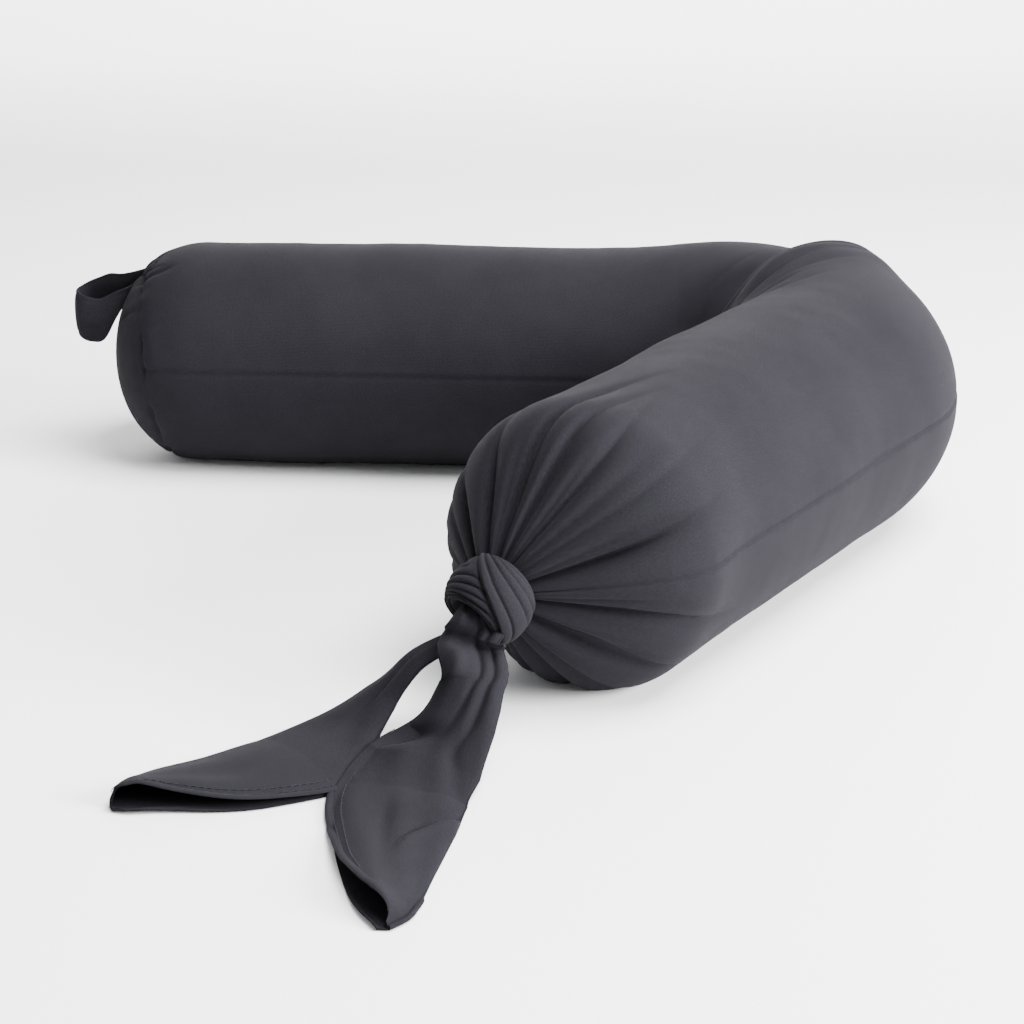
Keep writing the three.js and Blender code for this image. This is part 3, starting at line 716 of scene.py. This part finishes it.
# Roots are (ahead, right, down) from the knot. Widths are from the path to the hem side (near)
# and to the folded side (far). reach is how far over the upper layer comes, lip its lift.
FRONT_STYLE = {
    "roots": [(6, 0, 0), (13.5, 2, -4), (22.5, 7, -0.5), (32, 9, 8)],
    "near": [(0, 6), (0.031, 9), (0.0625, 17), (0.094, 20), (0.15, 24), (0.24, 30), (0.35, 46),
             (0.55, 41), (0.78, 26), (0.93, 13), (1, 4)],
    "far": [(0, 6), (0.031, 9), (0.0625, 19), (0.094, 20), (0.14, 16), (0.2, 17), (0.5, 33), (0.8, 21),
            (0.9, 16), (0.96, 11), (1, 3)],
    "reach": [(0, 0.985), (0.66, 0.985), (0.78, 0.87), (0.88, 0.56), (0.95, 0.08), (1, -0.6)],
    "lip": [(0, 0.6), (0.62, 0.8), (0.75, 4.5), (0.86, 9), (0.94, 9.5), (1, 2.5)],
    "puff": [(0, 4), (0.03, 5), (0.06, 6), (0.13, 8), (0.35, 7), (0.6, 7), (0.8, 6), (1, 3)],
    "shape": front_shape, "under": front_under,
}
LEFT_STYLE = {
    "roots": [(6, 0, 4), (11, -3, 12), (15, -12, 23)],
    "near": [(0, 6), (0.06, 6), (0.125, 2), (0.2, 5), (0.3, 15), (0.4, 27), (0.5, 41), (0.6, 36),
             (0.8, 15), (0.95, 7), (1, 3)],
    "far": [(0, 6), (0.06, 12), (0.125, 18), (0.3, 28), (0.5, 43), (0.65, 40.5), (0.85, 29),
            (0.95, 15), (1, 4)],
    "reach": [(0, 0.985), (0.45, 0.98), (0.7, 0.9), (0.85, 0.7), (0.95, 0.35), (1, -0.3)],
    "lip": [(0, 0.6), (0.42, 0.9), (0.6, 2.5), (0.75, 7), (0.88, 11), (0.96, 8), (1, 3)],
    "puff": [(0, 4), (0.14, 6), (0.35, 7), (0.6, 8), (0.85, 7), (1, 3)],
    "shape": left_shape, "under": left_under,
}
front_tail, FP, FN = build_tail("tail_front_cloth", FRONT_TAIL, 1, FRONT_STYLE)
left_tail, LP, LN = build_tail("tail_left_cloth", LEFT_TAIL, -1, LEFT_STYLE)
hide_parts("tail_front")
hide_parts("tail_left")


def tube_along(path, radius, sides=8):
    """Rings of a thin tube along a path, for cords, piping and stitches."""
    ahead = unit(np.gradient(path, axis=0))
    across = unit(np.cross(ahead, UP + 0.01))
    rise = np.cross(across, ahead)
    turn = np.linspace(0, 2 * math.pi, sides + 1)[:-1]
    radius = np.broadcast_to(radius, (len(path), 2))
    return (path[:, None] + across[:, None] * (radius[:, :1] * np.cos(turn))[..., None]
            + rise[:, None] * (radius[:, 1:] * np.sin(turn))[..., None])


def build_hem(name, p, normals, first):
    """The hem turned over the upper layer's open edge, a flat roll of cloth."""
    edge = p[first:-3, -4] + normals[first:-3, -4] * 0.9
    count = len(edge)
    place = np.arange(count)
    taper = 0.2 + 0.8 * smoothstep(place, 0, 22) * (1 - smoothstep(place, count - 12, count))
    width = np.stack([2.3 * taper, 0.9 * taper], 1)
    return solid(name, tube_along(edge, width, 14))


hems = {}
for name, p, normals in (("tail_front_hem", FP, FN), ("tail_left_hem", LP, LN)):
    hems[name] = build_hem(f"{name}_cloth", p, normals, 46)
    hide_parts(name)


def stitches(name, lines):
    """Rows of small thread stitches lying on the cloth, each line a path with its normals."""
    verts, faces = [], []
    for path, normals in lines:
        step = np.linalg.norm(np.diff(path, axis=0), axis=1)
        place = np.concatenate([[0], np.cumsum(step)])
        starts = np.arange(2, place[-1] - 4, 4.4)
        for start in starts:
            at = np.linspace(start, start + 3.1, 5)
            line = np.stack([np.interp(at, place, path[:, k]) for k in range(3)], 1)
            out = unit(np.stack([np.interp(at, place, normals[:, k]) for k in range(3)], 1))
            line = line + out * (0.42 * np.sin(np.linspace(0.2, math.pi - 0.2, 5)) - 0.05)[:, None]
            ring = tube_along(line, (0.28, 0.28), 6).reshape(-1, 3)
            base = len(verts) * 30
            ids = np.arange(30).reshape(5, 6) + base
            verts.append(ring)
            faces += grid_faces(ids, True).tolist() + [ids[0].tolist()[::-1], ids[-1].tolist()]
    verts = np.concatenate(verts)
    return make_mesh(name, verts, faces, None, verts[:, :2])


front_stitches = stitches("tail_front_stitches", [
    (FP[52:126, -9], FN[52:126, -9]), (FP[52:122, -14], FN[52:122, -14])])
left_stitches = stitches("tail_left_stitches", [
    (LP[72:138, -9], LN[72:138, -9]), (LP[72:134, -14], LN[72:134, -14])])

# ------------------------------------------------------------------ carry loop
root_s = end_seam(LOOP_ANGLE)
ROOT = tube_point(np.array([root_s]), np.array([LOOP_ANGLE]), np.array([0.0]))[0]


def build_loop():
    """The strap's two strands leave the seam together, stand on edge and turn round far out."""
    straight = LOOP_REACH - LOOP_TURN
    strand_t = np.linspace(0, 1, 40)
    out = -3.5 + (straight + 3.5) * strand_t
    across = 1.9 + (LOOP_TURN - 1.9) * smoothstep(strand_t, 0, 1)
    turn = np.linspace(0, math.pi, 34)[1:-1]
    out = np.concatenate([out, straight + LOOP_TURN * np.sin(turn) ** 0.8, out[::-1]])
    across = np.concatenate([across, LOOP_TURN * np.cos(turn), -across[::-1]])
    route = np.stack([out, across], 1)
    ahead = unit(np.gradient(route, axis=0))
    side = np.stack([-ahead[:, 1], ahead[:, 0]], 1)
    t = np.clip(out / LOOP_REACH, 0, 1)
    half = curve(t, [(0, 6), (0.17, 5.3), (0.41, 10.5), (0.56, 16.5), (0.75, 18.5), (1, 18.8)])
    near = across < 0
    drop = np.where(near, curve(t, [(0, 0), (0.17, 10), (0.41, 23), (0.6, 35), (0.78, 35), (1, 31)]),
                    curve(t, [(0, 0), (0.17, 3), (0.41, 12), (0.6, 20), (1, 31)]))
    height = ROOT[2] - 4.5 - drop
    twist = np.where(near, -0.9, 0.5) * (1 - smoothstep(t, 0.05, 0.45))
    section = np.linspace(0, 2 * math.pi, 41)[:-1]
    rows = []
    for i in range(len(route)):
        wide = half[i] * np.sign(np.sin(section)) * np.abs(np.sin(section)) ** 0.55
        thin = 1.45 * np.sign(np.cos(section)) * np.abs(np.cos(section)) ** 0.5
        thin = thin + 0.5 * fold(np.abs(wide) - half[i] + 3.2, 0.8) * -np.sign(np.cos(section))
        belly = 1.6 * (wide / half[i]) ** 2 * smoothstep(t[i], 0.4, 1)
        c, s = math.cos(twist[i]), math.sin(twist[i])
        flat = (thin - belly) * c - wide * s
        tall = (thin - belly) * s + wide * c
        rows.append(np.stack([
            ROOT[0] - out[i] - side[i, 0] * flat,
            ROOT[1] + across[i] + side[i, 1] * flat,
            height[i] + tall,
        ], -1))
    return solid("carry_loop_cloth", np.array(rows))


loop = build_loop()
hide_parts("carry_loop")


def build_anchor():
    """The loop's ends, tucked under a small puckered tab on the end seam."""
    s, angle = np.meshgrid(np.linspace(root_s - 1.5, root_s + 8.5, 34),
                           np.linspace(LOOP_ANGLE - 8.5, LOOP_ANGLE + 8.5, 44), indexing="ij")
    u, v = (s - root_s - 3.5) / 5, (angle - LOOP_ANGLE) / 8.5
    edge = np.clip(1 - np.maximum(np.abs(u), np.abs(v)) ** 4, 0, 1) ** 0.5
    lift = 2.6 * edge - 0.8 * fold(np.abs(u) * 5 - 2.6, 0.6) * edge
    lift = lift + 0.4 * np.sin(v * 13 + 2 * u) * edge
    outer = tube_point(s, angle, lift - 0.6)
    inner = tube_point(s, angle, lift * 0 - 1.4)
    uv = np.stack([s, np.radians(angle) * 90], -1)
    return shell("loop_anchor_cloth", outer, inner, grid_normals(outer, False), uv)


anchor = build_anchor()
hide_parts("loop_anchor")


# ------------------------------------------------------------------ materials
def new_material(name, colour, roughness, sheen, sheen_roughness, sheen_tint):
    material = bpy.data.materials.new(name)
    material.use_nodes = True
    shader = material.node_tree.nodes["Principled BSDF"]
    shader.inputs["Base Color"].default_value = (*colour, 1)
    shader.inputs["Roughness"].default_value = roughness
    shader.inputs["Specular IOR Level"].default_value = 0.06
    shader.inputs["Sheen Weight"].default_value = sheen
    shader.inputs["Sheen Roughness"].default_value = sheen_roughness
    shader.inputs["Sheen Tint"].default_value = (*sheen_tint, 1)
    return material, shader


def cloth_material(name, dark, light, pitch, relief, **kinds):
    """Jersey: fine ribs of stitches, a heathered yarn colour and soft wear-like clouding."""
    material, shader = new_material(name, dark, **kinds)
    tree = material.node_tree
    nodes, links = tree.nodes, tree.links
    place = nodes.new("ShaderNodeUVMap")
    place.uv_map = "cloth"

    def noise(scale, detail, stretch=(1, 1, 1)):
        mapping = nodes.new("ShaderNodeMapping")
        mapping.inputs["Scale"].default_value = stretch
        links.new(place.outputs["UV"], mapping.inputs["Vector"])
        node = nodes.new("ShaderNodeTexNoise")
        node.inputs["Scale"].default_value = scale
        node.inputs["Detail"].default_value = detail
        node.inputs["Roughness"].default_value = 0.6
        links.new(mapping.outputs["Vector"], node.inputs["Vector"])
        return node.outputs["Fac"]

    def wave(direction, scale, distortion):
        node = nodes.new("ShaderNodeTexWave")
        node.bands_direction = direction
        node.inputs["Scale"].default_value = scale
        node.inputs["Distortion"].default_value = distortion
        node.inputs["Detail"].default_value = 1.0
        node.inputs["Detail Scale"].default_value = 2.0
        links.new(place.outputs["UV"], node.inputs["Vector"])
        return node.outputs["Fac"]

    def maths(operation, a, b):
        node = nodes.new("ShaderNodeMath")
        node.operation = operation
        for socket, value in zip(node.inputs, (a, b)):
            if isinstance(value, (int, float)):
                socket.default_value = value
            else:
                links.new(value, socket)
        return node.outputs[0]

    heather = noise(1100, 3, (0.7, 1, 1))
    clouds = noise(16, 3)
    share = maths("ADD", maths("MULTIPLY", heather, 0.72), maths("MULTIPLY", clouds, 0.28))
    ramp = nodes.new("ShaderNodeValToRGB")
    ramp.color_ramp.elements[0].position = 0.33
    ramp.color_ramp.elements[1].position = 0.67
    ramp.color_ramp.elements[0].color = (*dark, 1)
    ramp.color_ramp.elements[1].color = (*light, 1)
    links.new(share, ramp.inputs["Fac"])
    links.new(ramp.outputs["Color"], shader.inputs["Base Color"])
    ribs = wave("Y", math.tau / 20 / (pitch * MM), 1.2)
    rows = wave("X", math.tau / 20 / (pitch * MM) * 1.3, 1.8)
    knit = maths("ADD", maths("MULTIPLY", ribs, 0.16), maths("MULTIPLY", rows, 0.10))
    height = maths("ADD", knit, maths("MULTIPLY", noise(1500, 3, (0.7, 1, 1)), 0.9))
    rough = nodes.new("ShaderNodeBump")
    rough.inputs["Strength"].default_value = relief
    rough.inputs["Distance"].default_value = 0.0006
    links.new(height, rough.inputs["Height"])
    links.new(rough.outputs["Normal"], shader.inputs["Normal"])
    return material


JERSEY_DARK, JERSEY_LIGHT = (0.0066, 0.0062, 0.0080), (0.0128, 0.0120, 0.0152)
jersey = cloth_material("jersey_charcoal", JERSEY_DARK, JERSEY_LIGHT, 1.1, 0.55, roughness=0.9,
                        sheen=0.022, sheen_roughness=0.4, sheen_tint=(0.62, 0.60, 0.70))
rib = cloth_material("jersey_rib", JERSEY_DARK, JERSEY_LIGHT, 1.6, 0.5, roughness=0.9,
                     sheen=0.022, sheen_roughness=0.4, sheen_tint=(0.62, 0.60, 0.70))
lining = cloth_material("casing_cotton", (0.62, 0.60, 0.55), (0.80, 0.78, 0.74), 0.9, 0.4,
                        roughness=0.8, sheen=0.1, sheen_roughness=0.5, sheen_tint=(1, 1, 1))
fibre = cloth_material("filling_fibre", (0.72, 0.71, 0.68), (0.88, 0.87, 0.85), 5, 1.0,
                       roughness=0.9, sheen=0.2, sheen_roughness=0.6, sheen_tint=(1, 1, 1))
thread = cloth_material("stitch_thread", (0.0050, 0.0047, 0.0058), (0.0085, 0.0080, 0.0100), 0.5, 0.5,
                        roughness=0.7, sheen=0.2, sheen_roughness=0.4, sheen_tint=(0.6, 0.6, 0.7))

# ------------------------------------------------------------------ each piece's material, and some pieces' bodies
ELBOW_POINT = (0.0, 0.0, 0.09)
BLEND_NEAR, BLEND_FAR = 0.047, 0.232
# Each leg's line runs out from the elbow point, halfway between its axis and the seam plane's normal.
BLEND_LINES = {"back_leg": np.array([-0.869, 0.494, 0]), "front_leg": np.array([0.019, -1.0, 0])}
finish = {}
for name, obj in pieces.items():
    leg = "back_leg" if "_back_" in name else "front_leg"
    start, end = (tuple(float(v) for v in np.array(ELBOW_POINT) + BLEND_LINES[leg] * reach)
                  for reach in (BLEND_FAR, BLEND_NEAR))
    kind = name.split("_")[0]
    material, slot, fill = {
        "cover": (jersey, "jersey", 0.85),
        "casing": (lining, "lining", 0.85),
        "filling": (fibre, "filling", 0.85),
    }[kind]
    obj.data.materials.append(material)
    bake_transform(obj)

for obj, body, material in (
    (end_panel, "back_leg", jersey), (build_neck_object, "front_leg", jersey),
    (knot, "front_leg", jersey), (hems["tail_front_hem"], "tail_front", rib),
    (hems["tail_left_hem"], "tail_left", rib), (front_stitches, "tail_front", thread),
    (left_stitches, "tail_left", thread), (anchor, "back_leg", jersey),
):
    obj.data.materials.append(material)
    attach(obj, body)

# The hanging tails and the carry loop take the jersey too.
for obj, leg, body, start, end in (
    (front_tail, "front_leg", "tail_front", SEEN_KNOT + AXIS * 10,
     SEEN_KNOT + AXIS * 32 - RISE * 8 + ACROSS * 6),
    (left_tail, "front_leg", "tail_left", SEEN_KNOT + AXIS * 8,
     SEEN_KNOT + AXIS * 22 - ACROSS * 16 - RISE * 22),
    (loop, "back_leg", "carry_loop", ROOT, ROOT + (-20.0, 0, -8.0)),
):
    obj.data.materials.append(jersey)
    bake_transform(obj)

# ------------------------------------------------------------------ floor, light and camera
floor_mesh = bpy.data.meshes.new("floor")
arc = np.linspace(0, math.pi / 2, 40)
profile = [(-6, 0), *zip(2.4 + 1.8 * np.sin(arc), 1.8 - 1.8 * np.cos(arc)), (4.2, 5.0)]
verts, faces = [], []
for i, (y, z) in enumerate(profile):
    verts += [(-7, y, z), (7, y, z)]
    if i:
        faces.append((2 * i - 2, 2 * i - 1, 2 * i + 1, 2 * i))
floor_mesh.from_pydata(verts, [], faces)
floor_mesh.polygons.foreach_set("use_smooth", [True] * len(faces))
floor = bpy.data.objects.new("floor", floor_mesh)
bpy.context.scene.collection.objects.link(floor)
floor_material = bpy.data.materials.new("floor_paper")
floor_material.use_nodes = True
floor_shader = floor_material.node_tree.nodes["Principled BSDF"]
floor_shader.inputs["Base Color"].default_value = (0.93, 0.93, 0.93, 1)
floor_shader.inputs["Roughness"].default_value = 0.95
floor_shader.inputs["Specular IOR Level"].default_value = 0.0
floor_mesh.materials.append(floor_material)

world = bpy.data.worlds.new("studio")
world.use_nodes = True
world.node_tree.nodes["Background"].inputs["Color"].default_value = (0.97, 0.98, 1.0, 1)
world.node_tree.nodes["Background"].inputs["Strength"].default_value = 0.7
bpy.context.scene.world = world


def area_light(name, place, target, size, power, colour=(1, 1, 1)):
    data = bpy.data.lights.new(name, "AREA")
    data.shape = "RECTANGLE"
    data.size, data.size_y = size
    data.energy = power
    data.color = colour
    obj = bpy.data.objects.new(name, data)
    obj.location = place
    aim = np.array(target) - np.array(place)
    obj.rotation_euler = (
        math.atan2(math.hypot(aim[0], aim[1]), -aim[2]), 0, math.atan2(aim[1], aim[0]) - math.pi / 2)
    bpy.context.scene.collection.objects.link(obj)


area_light("key", (2.1, -1.1, 1.0), (-0.1, -0.15, 0.1), (1.3, 1.1), 295)
area_light("top", (0.7, -0.45, 2.2), (-0.15, -0.1, 0), (1.8, 1.4), 210)
area_light("backdrop", (0, 2.3, 2.6), (0, 4.8, 1.7), (5.0, 1.5), 520)

camera_data = bpy.data.cameras.new("camera")
camera_data.lens = 77.2
camera_data.sensor_width = 36
camera_data.clip_end = 50
camera = bpy.data.objects.new("camera", camera_data)
camera.location = (-0.1077, -1.6739, 0.551)
camera.rotation_euler = (math.radians(90 - 19.08), 0, math.radians(4.04))
bpy.context.scene.collection.objects.link(camera)
bpy.context.scene.camera = camera

bpy.context.view_layer.update()
